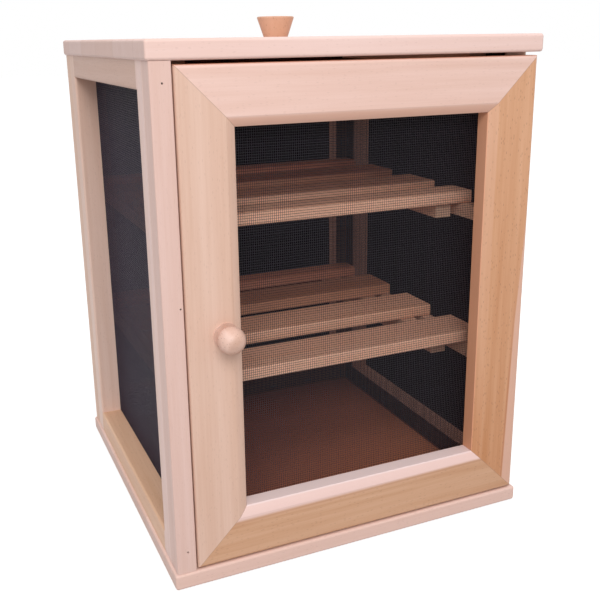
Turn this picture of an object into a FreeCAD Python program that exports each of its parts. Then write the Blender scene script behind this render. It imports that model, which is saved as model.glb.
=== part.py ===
import FreeCAD, Part
import math
import os

# Mesh-sided food cupboard in solid beech: two side frames and a back frame on a base board,
# a closing strip beside a mitred door with a wire mesh panel, two lift-out slatted shelves on
# cleats, and a lid board that lifts off by its knob.
# Millimetres, +Z up. X runs to the right seen from the front, Y from the door to the back.
# The origin lies under the middle of the body, on the underside of the base board.

V = FreeCAD.Vector
RIGHTWARD, BACKWARD, UP = V(1, 0, 0), V(0, 1, 0), V(0, 0, 1)

# ---------------------------------------------------------------- driving dimensions
BODY_WIDTH = 385.5
BODY_DEPTH = 382.0
FRAME_HEIGHT = 468.0          # height of the side and back frames, between base and lid

BASE_THICKNESS = 16.0
LID_THICKNESS = 17.0
BOARD_OVERHANG_SIDE = 2.5     # base and lid stand out past the body on each side
BOARD_OVERHANG_FRONT = 1.5
BOARD_OVERHANG_BACK = 2.0
BOARD_EDGE_ROUND = 2.8

SIDE_THICKNESS = 23.7         # side frame stock, across the cupboard
SIDE_STILE = 22.0             # side frame stiles, front to back
SIDE_RAIL = 24.5              # side frame rails, up and down
BACK_THICKNESS = 23.7
BACK_STILE = 39.0
BACK_RAIL = 39.0
FRAME_EDGE_ROUND = 2.5        # opening edges on the outside of the frames
ARRIS_ROUND = 0.8             # sanded corners

STRIP_WIDTH = 19.0            # closing strip at the left of the door
STRIP_EDGE_ROUND = 1.4

DOOR_THICKNESS = 21.0
DOOR_MEMBER = 52.0
DOOR_GAP_STRIP = 1.4
DOOR_GAP_TOP = 3.2
DOOR_GAP_BOTTOM = 1.4
DOOR_GAP_BACK = 0.3           # between the closed door and the side frames
DOOR_EDGE_ROUND = 3.0
DOOR_BACK_ROUND = 1.2
WINDOW_BEVEL_WIDTH = 9.0       # slope towards the mesh, across the member
WINDOW_BEVEL_DEPTH = 5.0
WINDOW_BEVEL_CROWN = 0.5      # how far the slope swells past a straight bevel

MESH_THICKNESS = 0.8          # two wires of the woven cloth
MESH_MARGIN = 1.0             # between a mesh's edge and the frame's outline
DOOR_MESH_OVERLAP = 10.0      # door mesh past the window's edge
MESH_OPENINGS_ACROSS = 9      # plain grid that stands for the cloth's open share
MESH_OPENINGS_UP = 12
MESH_BAR_SHARE = 0.18         # of the grid's pitch, so that two thirds stay open

STAPLE_LENGTH = 10.0
STAPLE_WIDTH = 0.9
STAPLE_THICKNESS = 0.5
STAPLE_INSET = 6.0            # staple's centre line from the mesh's edge
STAPLE_PITCH = 62.0           # largest distance between staples

LOWER_SHELF_TOP = 177.0       # above the base board
UPPER_SHELF_TOP = 325.5
LOWER_SHELF_FRONT = 20.5      # front edge behind the side frame's front edge
UPPER_SHELF_FRONT = 43.5
LOWER_FRONT_SLAT = 54.0       # widths of the front slats
UPPER_FRONT_SLAT = 38.0
SLAT_THICKNESS = 13.0
WIDE_SLAT = 55.0              # second and third slats
BACK_SLAT = 29.0
SLAT_GAP = 40.5               # between all slats but the first two
SLAT_EDGE_ROUND = 2.0
SHELF_SIDE_CLEARANCE = 0.8    # between the slats' ends and the side meshes
SHELF_BACK_CLEARANCE = 1.0
BATTEN_WIDTH = 18.0
BATTEN_FROM_CLEAT = 10.5      # gap between a batten and the cleat beside it
BATTEN_FRONT = 50.5           # batten's front end behind the side frame's front edge
BATTEN_SETBACK = 6.0          # batten's back end inside the shelf's back edge
CLEAT_WIDTH = 12.0
LOWER_BEARER_HEIGHT = 20.0    # battens and cleats of the lower shelf
UPPER_BEARER_HEIGHT = 15.0
CLEAT_FRONT_SETBACK = 6.0     # cleat's front end behind the side frame's front edge

HINGE_LENGTH = 42.0
HINGE_FROM_END = 62.0         # hinge's middle from the door's top and bottom edges
HINGE_KNUCKLE_RADIUS = 2.2
HINGE_PIN_RADIUS = 1.1
HINGE_RUNNING_CLEARANCE = 0.05
HINGE_LEAF_WIDTH = 15.0
HINGE_LEAF_THICKNESS = 1.0
HINGE_LEAF_GAP = 0.15         # between the two closed leaves
HINGE_SWING_CLEARANCE = 0.2   # knuckles to the door's edge and to the side frame
HINGE_KNUCKLE_GAP = 0.3
HINGE_MORTISE_CLEARANCE = 0.3
HINGE_SCREW_FROM_END = 8.0
HINGE_SCREW_LENGTH = 14.0

SCREW_RADIUS = 1.2
SCREW_HEAD_RADIUS = 2.3
SCREW_HEAD_DEPTH = 1.0

BALL_RADIUS = 12.5
BALL_STAND_OFF = 15.0         # ball's centre in front of the door's face
BALL_FLANGE_RADIUS = 12.0
BALL_FLANGE_THICKNESS = 1.6
BALL_NECK_RADIUS = 7.0
BALL_FROM_DOOR_EDGE = 36.0
BALL_HEIGHT = 230.5           # above the base board

LID_KNOB_FROM_MIDDLE = -3.0   # knob's centre beside the lid's
LID_KNOB_TOP_RADIUS = 20.0
LID_KNOB_FOOT_RADIUS = 12.8
LID_KNOB_HEIGHT = 21.0
LID_KNOB_EDGE_ROUND = 1.2
KNOB_SCREW_RADIUS = 2.0
KNOB_SCREW_HEAD_RADIUS = 4.0
KNOB_SCREW_HEAD_DEPTH = 2.2
KNOB_SCREW_BITE = 12.0        # screw length inside a knob

LID_BATTEN_WIDTH = 20.0
LID_BATTEN_HEIGHT = 10.0
LID_BATTEN_CLEARANCE = 0.7    # between a lid batten and the side meshes
LID_BATTEN_END_SETBACK = 30.0

NAIL_RADIUS = 0.9
NAIL_LENGTH = 32.0
NAIL_RECESS = 1.0
TOP_NAIL_PLACE = (10.6, 17.5)      # from the strip's left edge, below its top
MIDDLE_NAIL_PLACE = (16.2, 26.5)   # from the strip's left edge, above its middle
BOTTOM_NAIL_PLACE = (11.0, 22.0)   # from the strip's left edge, above its bottom

CATCH_HEIGHT = 231.0          # middle of the catch above the base board
CATCH_LENGTH = 38.0
CATCH_WIDTH = 11.0
CATCH_DEPTH = 14.0
CATCH_PLATE_THICKNESS = 1.0
CATCH_PLATE_LENGTH = 34.0
CATCH_PLATE_WIDTH = 9.0
CATCH_GAP = 0.3               # magnet to plate with the door shut
MAGNET_LENGTH = 24.0
MAGNET_WIDTH = 5.0
MAGNET_DEPTH = 8.0
CATCH_SCREW_SPREAD = 30.0
CATCH_SCREW_BITE = 10.0       # into the side frame
PLATE_SCREW_SPREAD = 24.0
PLATE_SCREW_LENGTH = 12.0

# ---------------------------------------------------------------- derived places
LEFT = -BODY_WIDTH / 2.0
RIGHT = BODY_WIDTH / 2.0
FRONT = -BODY_DEPTH / 2.0                     # face of the door and the closing strip
BACK = BODY_DEPTH / 2.0
FLOOR = BASE_THICKNESS
FRAME_TOP = FLOOR + FRAME_HEIGHT

DOOR_BACK = FRONT + DOOR_THICKNESS
SIDE_FRONT = DOOR_BACK + DOOR_GAP_BACK        # front edges of the side frames
SIDE_BACK = BACK - BACK_THICKNESS             # where the side frames meet the back frame
INNER_LEFT = LEFT + SIDE_THICKNESS
INNER_RIGHT = RIGHT - SIDE_THICKNESS
MESH_LEFT = INNER_LEFT + MESH_THICKNESS
MESH_RIGHT = INNER_RIGHT - MESH_THICKNESS
MESH_BACK = SIDE_BACK - MESH_THICKNESS

HINGE_AXIS_X = RIGHT                          # knuckles stand proud of the side
HINGE_AXIS_Y = SIDE_FRONT - HINGE_KNUCKLE_RADIUS - HINGE_SWING_CLEARANCE
DOOR_LEFT = LEFT + STRIP_WIDTH + DOOR_GAP_STRIP
DOOR_RIGHT = HINGE_AXIS_X - HINGE_KNUCKLE_RADIUS - HINGE_SWING_CLEARANCE
DOOR_BOTTOM = FLOOR + DOOR_GAP_BOTTOM
DOOR_TOP = FRAME_TOP - DOOR_GAP_TOP
HINGE_HEIGHTS = (DOOR_BOTTOM + HINGE_FROM_END, DOOR_TOP - HINGE_FROM_END)

SLAT_LEFT = MESH_LEFT + SHELF_SIDE_CLEARANCE
SLAT_RIGHT = MESH_RIGHT - SHELF_SIDE_CLEARANCE
SHELF_BACK = MESH_BACK - SHELF_BACK_CLEARANCE
BACK_SLAT_FRONT = SHELF_BACK - BACK_SLAT
THIRD_SLAT_FRONT = BACK_SLAT_FRONT - SLAT_GAP - WIDE_SLAT
SECOND_SLAT_FRONT = THIRD_SLAT_FRONT - SLAT_GAP - WIDE_SLAT
FURTHER_SLATS = ((SECOND_SLAT_FRONT, WIDE_SLAT), (THIRD_SLAT_FRONT, WIDE_SLAT), (BACK_SLAT_FRONT, BACK_SLAT))
# each shelf: top, front slat's front edge, front slat's width, height of its battens and cleats
SHELVES = (("upper", FLOOR + UPPER_SHELF_TOP, SIDE_FRONT + UPPER_SHELF_FRONT, UPPER_FRONT_SLAT,
            UPPER_BEARER_HEIGHT),
           ("lower", FLOOR + LOWER_SHELF_TOP, SIDE_FRONT + LOWER_SHELF_FRONT, LOWER_FRONT_SLAT,
            LOWER_BEARER_HEIGHT))

os.makedirs("parts", exist_ok=True)


# ---------------------------------------------------------------- helpers
def box(x0, y0, z0, x1, y1, z1):
    """A block between two corners."""
    return Part.makeBox(x1 - x0, y1 - y0, z1 - z0, V(x0, y0, z0))


def edges_within(shape, x0, y0, z0, x1, y1, z1):
    """The edges that lie wholly inside a box, a little slack allowed."""
    region = FreeCAD.BoundBox(x0 - 0.01, y0 - 0.01, z0 - 0.01, x1 + 0.01, y1 + 0.01, z1 + 0.01)
    return [edge for edge in shape.Edges if region.isInside(edge.BoundBox)]


def running(edges, axis):
    """The straight edges among these that run along a direction."""
    found = []
    for edge in edges:
        start, end = edge.Vertexes[0].Point, edge.Vertexes[-1].Point
        if start.distanceToPoint(end) > 0 and abs((end - start).normalize().dot(axis)) > 0.999:
            found.append(edge)
    return found


def cylinder(radius, start, direction, length):
    """A round bar from a point along a direction."""
    return Part.makeCylinder(radius, length, start, direction)


def screw(head, direction, length, radius, head_radius, head_depth):
    """A countersunk screw with its flat head's face centred on a point."""
    cone = Part.makeCone(head_radius, radius, head_depth, head, direction)
    shank = cylinder(radius, head + direction * head_depth, direction, length - head_depth)
    return cone.fuse(shank).removeSplitter()


def small_screw(head, direction, length):
    return screw(head, direction, length, SCREW_RADIUS, SCREW_HEAD_RADIUS, SCREW_HEAD_DEPTH)


def knob_screw(head, direction, length):
    return screw(head, direction, length, KNOB_SCREW_RADIUS, KNOB_SCREW_HEAD_RADIUS,
                 KNOB_SCREW_HEAD_DEPTH)


def cut_all(shape, tools):
    """The shape with every tool taken out of it."""
    for tool in tools:
        shape = shape.cut(tool)
    return shape


def export(node, shape):
    """Writes one node; a list becomes a group of separate solids."""
    if isinstance(shape, list):
        shape = Part.makeCompound(shape)
    shape.exportStep("parts/" + node + ".step")


# ---------------------------------------------------------------- boards and frames
def board(z0, thickness):
    """Base or lid board with every edge eased."""
    blank = box(LEFT - BOARD_OVERHANG_SIDE, FRONT - BOARD_OVERHANG_FRONT, z0,
                RIGHT + BOARD_OVERHANG_SIDE, BACK + BOARD_OVERHANG_BACK, z0 + thickness)
    return blank.makeFillet(min(BOARD_EDGE_ROUND, thickness / 2.1), blank.Edges)


def side_frame(outer, inner):
    """Side frame as one plate with its opening; the opening's outer edges are eased."""
    low_y, high_y = SIDE_FRONT + SIDE_STILE, SIDE_BACK - SIDE_STILE
    low_z, high_z = FLOOR + SIDE_RAIL, FRAME_TOP - SIDE_RAIL
    x0, x1 = min(outer, inner), max(outer, inner)
    plate = box(x0, SIDE_FRONT, FLOOR, x1, SIDE_BACK, FRAME_TOP)
    plate = plate.cut(box(x0, low_y, low_z, x1, high_y, high_z))
    rim = edges_within(plate, outer, low_y, low_z, outer, high_y, high_z)
    plate = plate.makeFillet(FRAME_EDGE_ROUND, rim)
    corner = edges_within(plate, outer, SIDE_FRONT, FLOOR, outer, SIDE_FRONT, FRAME_TOP)
    return plate.makeFillet(ARRIS_ROUND, corner)


def side_members(side, outer, inner):
    """The four members of a side frame: stiles full height, rails between them."""
    frame = side_frame(outer, inner)
    x0, x1 = min(outer, inner), max(outer, inner)
    low_y, high_y = SIDE_FRONT + SIDE_STILE, SIDE_BACK - SIDE_STILE
    blanks = {
        "front_stile": box(x0, SIDE_FRONT, FLOOR, x1, low_y, FRAME_TOP),
        "rear_stile": box(x0, high_y, FLOOR, x1, SIDE_BACK, FRAME_TOP),
        "top_rail": box(x0, low_y, FRAME_TOP - SIDE_RAIL, x1, high_y, FRAME_TOP),
        "bottom_rail": box(x0, low_y, FLOOR, x1, high_y, FLOOR + SIDE_RAIL),
    }
    return {side + "_" + name: frame.common(blank) for name, blank in blanks.items()}


def back_members():
    """The four members of the back frame, which spans both side frames."""
    low_x, high_x = LEFT + BACK_STILE, RIGHT - BACK_STILE
    low_z, high_z = FLOOR + BACK_RAIL, FRAME_TOP - BACK_RAIL
    plate = box(LEFT, SIDE_BACK, FLOOR, RIGHT, BACK, FRAME_TOP)
    plate = plate.cut(box(low_x, SIDE_BACK, low_z, high_x, BACK, high_z))
    rim = edges_within(plate, low_x, BACK, low_z, high_x, BACK, high_z)
    plate = plate.makeFillet(FRAME_EDGE_ROUND, rim)
    corners = []
    for x in (LEFT, RIGHT):
        corners += edges_within(plate, x, BACK, FLOOR, x, BACK, FRAME_TOP)
    plate = plate.makeFillet(ARRIS_ROUND, corners)
    blanks = {
        "back_left_stile": box(LEFT, SIDE_BACK, FLOOR, low_x, BACK, FRAME_TOP),
        "back_right_stile": box(high_x, SIDE_BACK, FLOOR, RIGHT, BACK, FRAME_TOP),
        "back_top_rail": box(low_x, SIDE_BACK, FRAME_TOP - BACK_RAIL, high_x, BACK, FRAME_TOP),
        "back_bottom_rail": box(low_x, SIDE_BACK, FLOOR, high_x, BACK, FLOOR + BACK_RAIL),
    }
    return {name: plate.common(blank) for name, blank in blanks.items()}


def closing_strip():
    """The narrow post nailed to the left side frame, flush with the door."""
    blank = box(LEFT, FRONT, FLOOR, LEFT + STRIP_WIDTH, SIDE_FRONT, FRAME_TOP)
    front = edges_within(blank, LEFT, FRONT, FLOOR, LEFT + STRIP_WIDTH, FRONT, FRAME_TOP)
    blank = blank.makeFillet(STRIP_EDGE_ROUND, running(front, UP))
    rear = edges_within(blank, LEFT, SIDE_FRONT, FLOOR, LEFT, SIDE_FRONT, FRAME_TOP)
    return blank.makeFillet(ARRIS_ROUND, rear)


def strip_nails():
    """Nails driven through the strip into the side frame, heads sunk below the face."""
    places = (
        (TOP_NAIL_PLACE[0], FRAME_TOP - TOP_NAIL_PLACE[1]),
        (MIDDLE_NAIL_PLACE[0], (FLOOR + FRAME_TOP) / 2.0 + MIDDLE_NAIL_PLACE[1]),
        (BOTTOM_NAIL_PLACE[0], FLOOR + BOTTOM_NAIL_PLACE[1]),
    )
    nails, holes = [], []
    for across, height in places:
        mouth = V(LEFT + across, FRONT, height)
        nails.append(cylinder(NAIL_RADIUS, mouth + V(0, NAIL_RECESS, 0), V(0, 1, 0),
                              NAIL_LENGTH - NAIL_RECESS))
        holes.append(cylinder(NAIL_RADIUS, mouth, V(0, 1, 0), NAIL_LENGTH))
    return nails, holes


# ---------------------------------------------------------------- door
def door_section(corner, inward):
    """Section of a door member at one of the door's corners, its crowned bevel on the inside."""
    width, depth = DOOR_MEMBER, DOOR_THICKNESS
    corners = ((0, 0, 1, 1, DOOR_EDGE_ROUND), (width, 0, -1, 1, None),
               (width, depth, -1, -1, DOOR_BACK_ROUND), (0, depth, 1, -1, DOOR_BACK_ROUND))

    def place(across, through):
        return corner + inward * across + BACKWARD * through

    arcs = []
    for index, (across, through, sign_a, sign_t, radius) in enumerate(corners):
        reach_a, reach_t = (radius, radius) if radius else (WINDOW_BEVEL_WIDTH, WINDOW_BEVEL_DEPTH)
        on_width = place(across + sign_a * reach_a, through)
        on_depth = place(across, through + sign_t * reach_t)
        if radius:
            inset = radius * (1 - math.sqrt(0.5))
            middle = place(across + sign_a * inset, through + sign_t * inset)
        else:
            chord = on_depth - on_width
            swell = WINDOW_BEVEL_CROWN / chord.Length
            middle = (on_width + on_depth) * 0.5 + inward * (reach_t * swell) - BACKWARD * (reach_a * swell)
        ends = (on_depth, on_width) if index % 2 == 0 else (on_width, on_depth)
        arcs.append(Part.Arc(ends[0], middle, ends[1]))
    edges = []
    for index, arc in enumerate(arcs):
        following = arcs[(index + 1) % len(arcs)]
        edges += [arc.toShape(), Part.LineSegment(arc.EndPoint, following.StartPoint).toShape()]
    return Part.Face(Part.Wire(edges))


def door_member(corner, along, inward, length):
    """A member from one corner of the door to the next, mitred at both ends."""
    bar = door_section(corner, inward).extrude(along * length)
    return cut_all(bar, [mitre_waste(corner, inward, along),
                         mitre_waste(corner + along * length, inward, along * -1)])


def mitre_waste(corner, inward, along):
    """The wedge outside the 45 degree line through a corner of the door."""
    reach = DOOR_MEMBER * 2.0
    points = [corner, corner + (inward + along) * reach, corner + (inward - along) * reach,
              corner - along * reach, corner]
    low = V(0, -1.0, 0)
    wedge = Part.Face(Part.makePolygon([point + low for point in points]))
    return wedge.extrude(V(0, DOOR_THICKNESS + 2.0, 0))


def door_members():
    width, height = DOOR_RIGHT - DOOR_LEFT, DOOR_TOP - DOOR_BOTTOM
    low_left, low_right = V(DOOR_LEFT, FRONT, DOOR_BOTTOM), V(DOOR_RIGHT, FRONT, DOOR_BOTTOM)
    high_left = V(DOOR_LEFT, FRONT, DOOR_TOP)
    return {
        "door_left_stile": door_member(low_left, UP, RIGHTWARD, height),
        "door_right_stile": door_member(low_right, UP, RIGHTWARD * -1, height),
        "door_bottom_rail": door_member(low_left, RIGHTWARD, UP, width),
        "door_top_rail": door_member(high_left, RIGHTWARD, UP * -1, width),
    }


def door_knob():
    """Turned ball with a short neck and a flange against the door."""
    centre = V(DOOR_LEFT + BALL_FROM_DOOR_EDGE, FRONT - BALL_STAND_OFF, FLOOR + BALL_HEIGHT)
    back = V(0, 1, 0)
    ball = Part.makeSphere(BALL_RADIUS, centre)
    neck = cylinder(BALL_NECK_RADIUS, centre, back, BALL_STAND_OFF)
    flange_start = centre + back * (BALL_STAND_OFF - BALL_FLANGE_THICKNESS)
    flange = cylinder(BALL_FLANGE_RADIUS, flange_start, back, BALL_FLANGE_THICKNESS)
    head = V(centre.x, DOOR_BACK, centre.z)
    length = DOOR_THICKNESS + KNOB_SCREW_BITE
    fastener = knob_screw(head, back * -1, length)
    return ball.fuse([neck, flange]).removeSplitter().cut(fastener), fastener


# ---------------------------------------------------------------- hinges
def knuckle(low, high, leaf_face_y, leaf_depth, pin_hole):
    """A leaf's knuckle with the plate's edge carried to it."""
    middle = V(HINGE_AXIS_X, HINGE_AXIS_Y, low)
    barrel = cylinder(HINGE_KNUCKLE_RADIUS, middle, V(0, 0, 1), high - low)
    reach = box(DOOR_RIGHT - 0.5, leaf_face_y, low, HINGE_AXIS_X,
                leaf_face_y + leaf_depth, high)
    hole = cylinder(pin_hole, middle - V(0, 0, 1), V(0, 0, 1), high - low + 2)
    return barrel.fuse(reach).cut(hole).removeSplitter()


def hinge(height):
    """Frame leaf, door leaf, pin and screws of one butt hinge, with the wood's cut-outs."""
    low, third = height - HINGE_LENGTH / 2.0, HINGE_LENGTH / 3.0
    high = height + HINGE_LENGTH / 2.0
    plate_x = DOOR_RIGHT - HINGE_LEAF_WIDTH
    frame_y = SIDE_FRONT - HINGE_LEAF_THICKNESS
    door_y = frame_y - HINGE_LEAF_GAP - HINGE_LEAF_THICKNESS
    gap = HINGE_KNUCKLE_GAP / 2.0

    frame_leaf = box(plate_x, frame_y, low, DOOR_RIGHT, SIDE_FRONT, high)
    for z0, z1 in ((low, low + third - gap), (high - third + gap, high)):
        frame_leaf = frame_leaf.fuse(knuckle(z0, z1, frame_y, HINGE_LEAF_THICKNESS,
                                             HINGE_PIN_RADIUS))
    door_leaf = box(plate_x, door_y, low, DOOR_RIGHT, door_y + HINGE_LEAF_THICKNESS, high)
    door_leaf = door_leaf.fuse(knuckle(low + third + gap, high - third - gap, door_y,
                                       HINGE_LEAF_THICKNESS,
                                       HINGE_PIN_RADIUS + HINGE_RUNNING_CLEARANCE))
    frame_screws, door_screws = [], []
    screw_x = DOOR_RIGHT - HINGE_LEAF_WIDTH / 2.0
    for z in (low + HINGE_SCREW_FROM_END, high - HINGE_SCREW_FROM_END):
        frame_screws.append(small_screw(V(screw_x, frame_y, z), V(0, 1, 0), HINGE_SCREW_LENGTH))
        door_screws.append(small_screw(V(screw_x, door_y + HINGE_LEAF_THICKNESS, z),
                                       V(0, -1, 0), HINGE_SCREW_LENGTH))
    pin = cylinder(HINGE_PIN_RADIUS, V(HINGE_AXIS_X, HINGE_AXIS_Y, low), V(0, 0, 1), HINGE_LENGTH)
    clear = HINGE_MORTISE_CLEARANCE
    mortise = box(plate_x - clear, door_y, low - clear, DOOR_RIGHT + 1, DOOR_BACK + 1, high + clear)
    return {
        "frame_leaf": cut_all(frame_leaf, frame_screws).removeSplitter(),
        "door_leaf": cut_all(door_leaf, door_screws).removeSplitter(),
        "pin": pin,
        "frame_screws": frame_screws,
        "door_screws": door_screws,
        "mortise": mortise,
    }


# ---------------------------------------------------------------- meshes and staples
def spread(low, high):
    """Evenly spaced places between two ends, no further apart than the staple pitch."""
    steps = max(1, math.ceil((high - low) / STAPLE_PITCH))
    return [low + (high - low) * step / steps for step in range(steps + 1)]


def staple_rows(low_a, high_a, low_b, high_b):
    """Staple places round a rectangle, as (a, b, runs_along_a)."""
    places = [(a, b, True) for b in (low_b, high_b) for a in spread(low_a, high_a)[1:-1]]
    places += [(a, b, False) for a in (low_a, high_a) for b in spread(low_b, high_b)]
    return places


def staple_size(along_a):
    half_long, half_short = STAPLE_LENGTH / 2.0, STAPLE_WIDTH / 2.0
    return (half_long, half_short) if along_a else (half_short, half_long)


def side_staples(face, outward, blocked):
    """Staple crowns on a side mesh, lying on the plane x = face."""
    crowns = []
    x0, x1 = sorted((face, face + outward * STAPLE_THICKNESS))
    rows = staple_rows(SIDE_FRONT + MESH_MARGIN + STAPLE_INSET, MESH_BACK - STAPLE_INSET,
                       FLOOR + MESH_MARGIN + STAPLE_INSET, FRAME_TOP - MESH_MARGIN - STAPLE_INSET)
    for y, z, along in rows:
        dy, dz = staple_size(along)
        crown = box(x0, y - dy, z - dz, x1, y + dy, z + dz)
        if not touches(crown, blocked):
            crowns.append(crown)
    return crowns


def flat_staples(face, outward, low_x, high_x, low_z, high_z, blocked):
    """Staple crowns on the back or door mesh, lying on the plane y = face."""
    crowns = []
    y0, y1 = sorted((face, face + outward * STAPLE_THICKNESS))
    for x, z, along in staple_rows(low_x, high_x, low_z, high_z):
        dx, dz = staple_size(along)
        crown = box(x - dx, y0, z - dz, x + dx, y1, z + dz)
        if not touches(crown, blocked):
            crowns.append(crown)
    return crowns


def touches(shape, others):
    return any(shape.distToShape(other)[0] < 1.0 for other in others)


# ---------------------------------------------------------------- shelves and cleats
def shelf_pieces(name, top, shelf_front, front_slat, bearer_height):
    """Four slats on two battens that run front to back."""
    pieces = {}
    for index, (front, width) in enumerate(((shelf_front, front_slat),) + FURTHER_SLATS, start=1):
        slat = box(SLAT_LEFT, front, top - SLAT_THICKNESS, SLAT_RIGHT, front + width, top)
        slat = slat.makeFillet(SLAT_EDGE_ROUND, running(slat.Edges, RIGHTWARD))
        pieces["%s_slat_%d" % (name, index)] = slat
    low = top - SLAT_THICKNESS - bearer_height
    left = MESH_LEFT + CLEAT_WIDTH + BATTEN_FROM_CLEAT
    right = MESH_RIGHT - CLEAT_WIDTH - BATTEN_FROM_CLEAT - BATTEN_WIDTH
    for side, x in (("left", left), ("right", right)):
        batten = box(x, SIDE_FRONT + BATTEN_FRONT, low,
                     x + BATTEN_WIDTH, SHELF_BACK - BATTEN_SETBACK, low + bearer_height)
        batten = batten.makeFillet(ARRIS_ROUND, running(batten.Edges, BACKWARD))
        pieces["%s_%s_batten" % (name, side)] = batten
    return pieces


def cleat(mesh_face, inward, shelf_top, height):
    """A bearer fixed through the mesh to the side frame's stiles."""
    x0, x1 = sorted((mesh_face, mesh_face + inward * CLEAT_WIDTH))
    high = shelf_top - SLAT_THICKNESS
    bearer = box(x0, SIDE_FRONT + CLEAT_FRONT_SETBACK, high - height, x1, MESH_BACK, high)
    inner = mesh_face + inward * CLEAT_WIDTH
    edges = edges_within(bearer, inner, SIDE_FRONT, high - height, inner, SIDE_BACK, high)
    return bearer.makeFillet(ARRIS_ROUND, running(edges, BACKWARD))


# ---------------------------------------------------------------- lid
def lid_knob():
    """Turned knob, wider at the top, on a screw from under the lid."""
    foot = V(LID_KNOB_FROM_MIDDLE, (FRONT + BACK) / 2.0, FRAME_TOP + LID_THICKNESS)
    radius, top = LID_KNOB_TOP_RADIUS, foot.z + LID_KNOB_HEIGHT
    knob = Part.makeCone(LID_KNOB_FOOT_RADIUS, radius, LID_KNOB_HEIGHT, foot)
    rim = edges_within(knob, foot.x - radius, foot.y - radius, top,
                       foot.x + radius, foot.y + radius, top)
    knob = knob.makeFillet(LID_KNOB_EDGE_ROUND, rim)
    head = V(foot.x, foot.y, FRAME_TOP)
    fastener = knob_screw(head, V(0, 0, 1), LID_THICKNESS + KNOB_SCREW_BITE)
    return knob.cut(fastener), fastener


def lid_batten(side):
    """A locating batten under the lid, just inside a side mesh."""
    x0 = MESH_LEFT + STAPLE_THICKNESS + LID_BATTEN_CLEARANCE
    if side > 0:
        x0 = MESH_RIGHT - STAPLE_THICKNESS - LID_BATTEN_CLEARANCE - LID_BATTEN_WIDTH
    batten = box(x0, SIDE_FRONT + LID_BATTEN_END_SETBACK, FRAME_TOP - LID_BATTEN_HEIGHT,
                 x0 + LID_BATTEN_WIDTH, MESH_BACK - LID_BATTEN_END_SETBACK, FRAME_TOP)
    low = edges_within(batten, x0, SIDE_FRONT, FRAME_TOP - LID_BATTEN_HEIGHT,
                       x0 + LID_BATTEN_WIDTH, SIDE_BACK, FRAME_TOP - LID_BATTEN_HEIGHT)
    return batten.makeFillet(ARRIS_ROUND, running(low, BACKWARD))


# ---------------------------------------------------------------- meshes and catch
def rectangle(origin, across, a0, z0, a1, z1):
    """A closed outline in the upright plane through a point, from its places along across."""
    corners = [(a0, z0), (a1, z0), (a1, z1), (a0, z1), (a0, z0)]
    return Part.makePolygon([origin + across * a + UP * z for a, z in corners])


def cloth_panel(origin, across, through, sheet, window):
    """A thin sheet for wire cloth, with a plain grid of openings in the window that it covers.
    Sheet and window are (first, low, last, high), along across and up from the origin."""
    first, low, last, high = window
    step_a, step_z = (last - first) / MESH_OPENINGS_ACROSS, (high - low) / MESH_OPENINGS_UP
    bar_a, bar_z = step_a * MESH_BAR_SHARE / 2.0, step_z * MESH_BAR_SHARE / 2.0
    outlines = [rectangle(origin, across, *sheet)]
    for column in range(MESH_OPENINGS_ACROSS):
        for row in range(MESH_OPENINGS_UP):
            a0, z0 = first + column * step_a, low + row * step_z
            outlines.append(rectangle(origin, across, a0 + bar_a, z0 + bar_z,
                                      a0 + step_a - bar_a, z0 + step_z - bar_z))
    face = Part.makeFace(outlines, "Part::FaceMakerBullseye")
    return face.extrude(through * MESH_THICKNESS)


def mesh_sheets():
    """The wire mesh panels of the two sides and the back."""
    low, high = FLOOR + MESH_MARGIN, FRAME_TOP - MESH_MARGIN
    side = (SIDE_FRONT + MESH_MARGIN, low, SIDE_BACK - MESH_MARGIN, high)
    side_window = (SIDE_FRONT + SIDE_STILE, FLOOR + SIDE_RAIL,
                   SIDE_BACK - SIDE_STILE, FRAME_TOP - SIDE_RAIL)
    back = (MESH_LEFT + MESH_MARGIN, low, MESH_RIGHT - MESH_MARGIN, high)
    back_window = (LEFT + BACK_STILE, FLOOR + BACK_RAIL, RIGHT - BACK_STILE, FRAME_TOP - BACK_RAIL)
    left, right, rear = V(INNER_LEFT, 0, 0), V(MESH_RIGHT, 0, 0), V(0, MESH_BACK, 0)
    return {
        "left_side_mesh": cloth_panel(left, BACKWARD, RIGHTWARD, side, side_window),
        "right_side_mesh": cloth_panel(right, BACKWARD, RIGHTWARD, side, side_window),
        "back_mesh": cloth_panel(rear, RIGHTWARD, BACKWARD, back, back_window),
    }


def frame_staples(blocked):
    """Staples of the side and back meshes, left out where another piece covers the place."""
    low, high = FLOOR + MESH_MARGIN + STAPLE_INSET, FRAME_TOP - MESH_MARGIN - STAPLE_INSET
    crowns = side_staples(MESH_LEFT, 1, blocked) + side_staples(MESH_RIGHT, -1, blocked)
    edge = MESH_MARGIN + STAPLE_INSET
    return crowns + flat_staples(MESH_BACK, -1, MESH_LEFT + edge, MESH_RIGHT - edge, low, high,
                                 blocked)


def door_mesh():
    """The door's mesh panel on the back of the members, and its staples."""
    low_x, high_x = DOOR_LEFT + DOOR_MEMBER, DOOR_RIGHT - DOOR_MEMBER
    low_z, high_z = DOOR_BOTTOM + DOOR_MEMBER, DOOR_TOP - DOOR_MEMBER
    lap = DOOR_MESH_OVERLAP
    back = DOOR_BACK + MESH_THICKNESS
    sheet = cloth_panel(V(0, DOOR_BACK, 0), RIGHTWARD, BACKWARD,
                        (low_x - lap, low_z - lap, high_x + lap, high_z + lap),
                        (low_x, low_z, high_x, high_z))
    centre = lap - STAPLE_INSET
    crowns = flat_staples(back, 1, low_x - centre, high_x + centre, low_z - centre,
                          high_z + centre, [])
    return sheet, crowns


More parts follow.
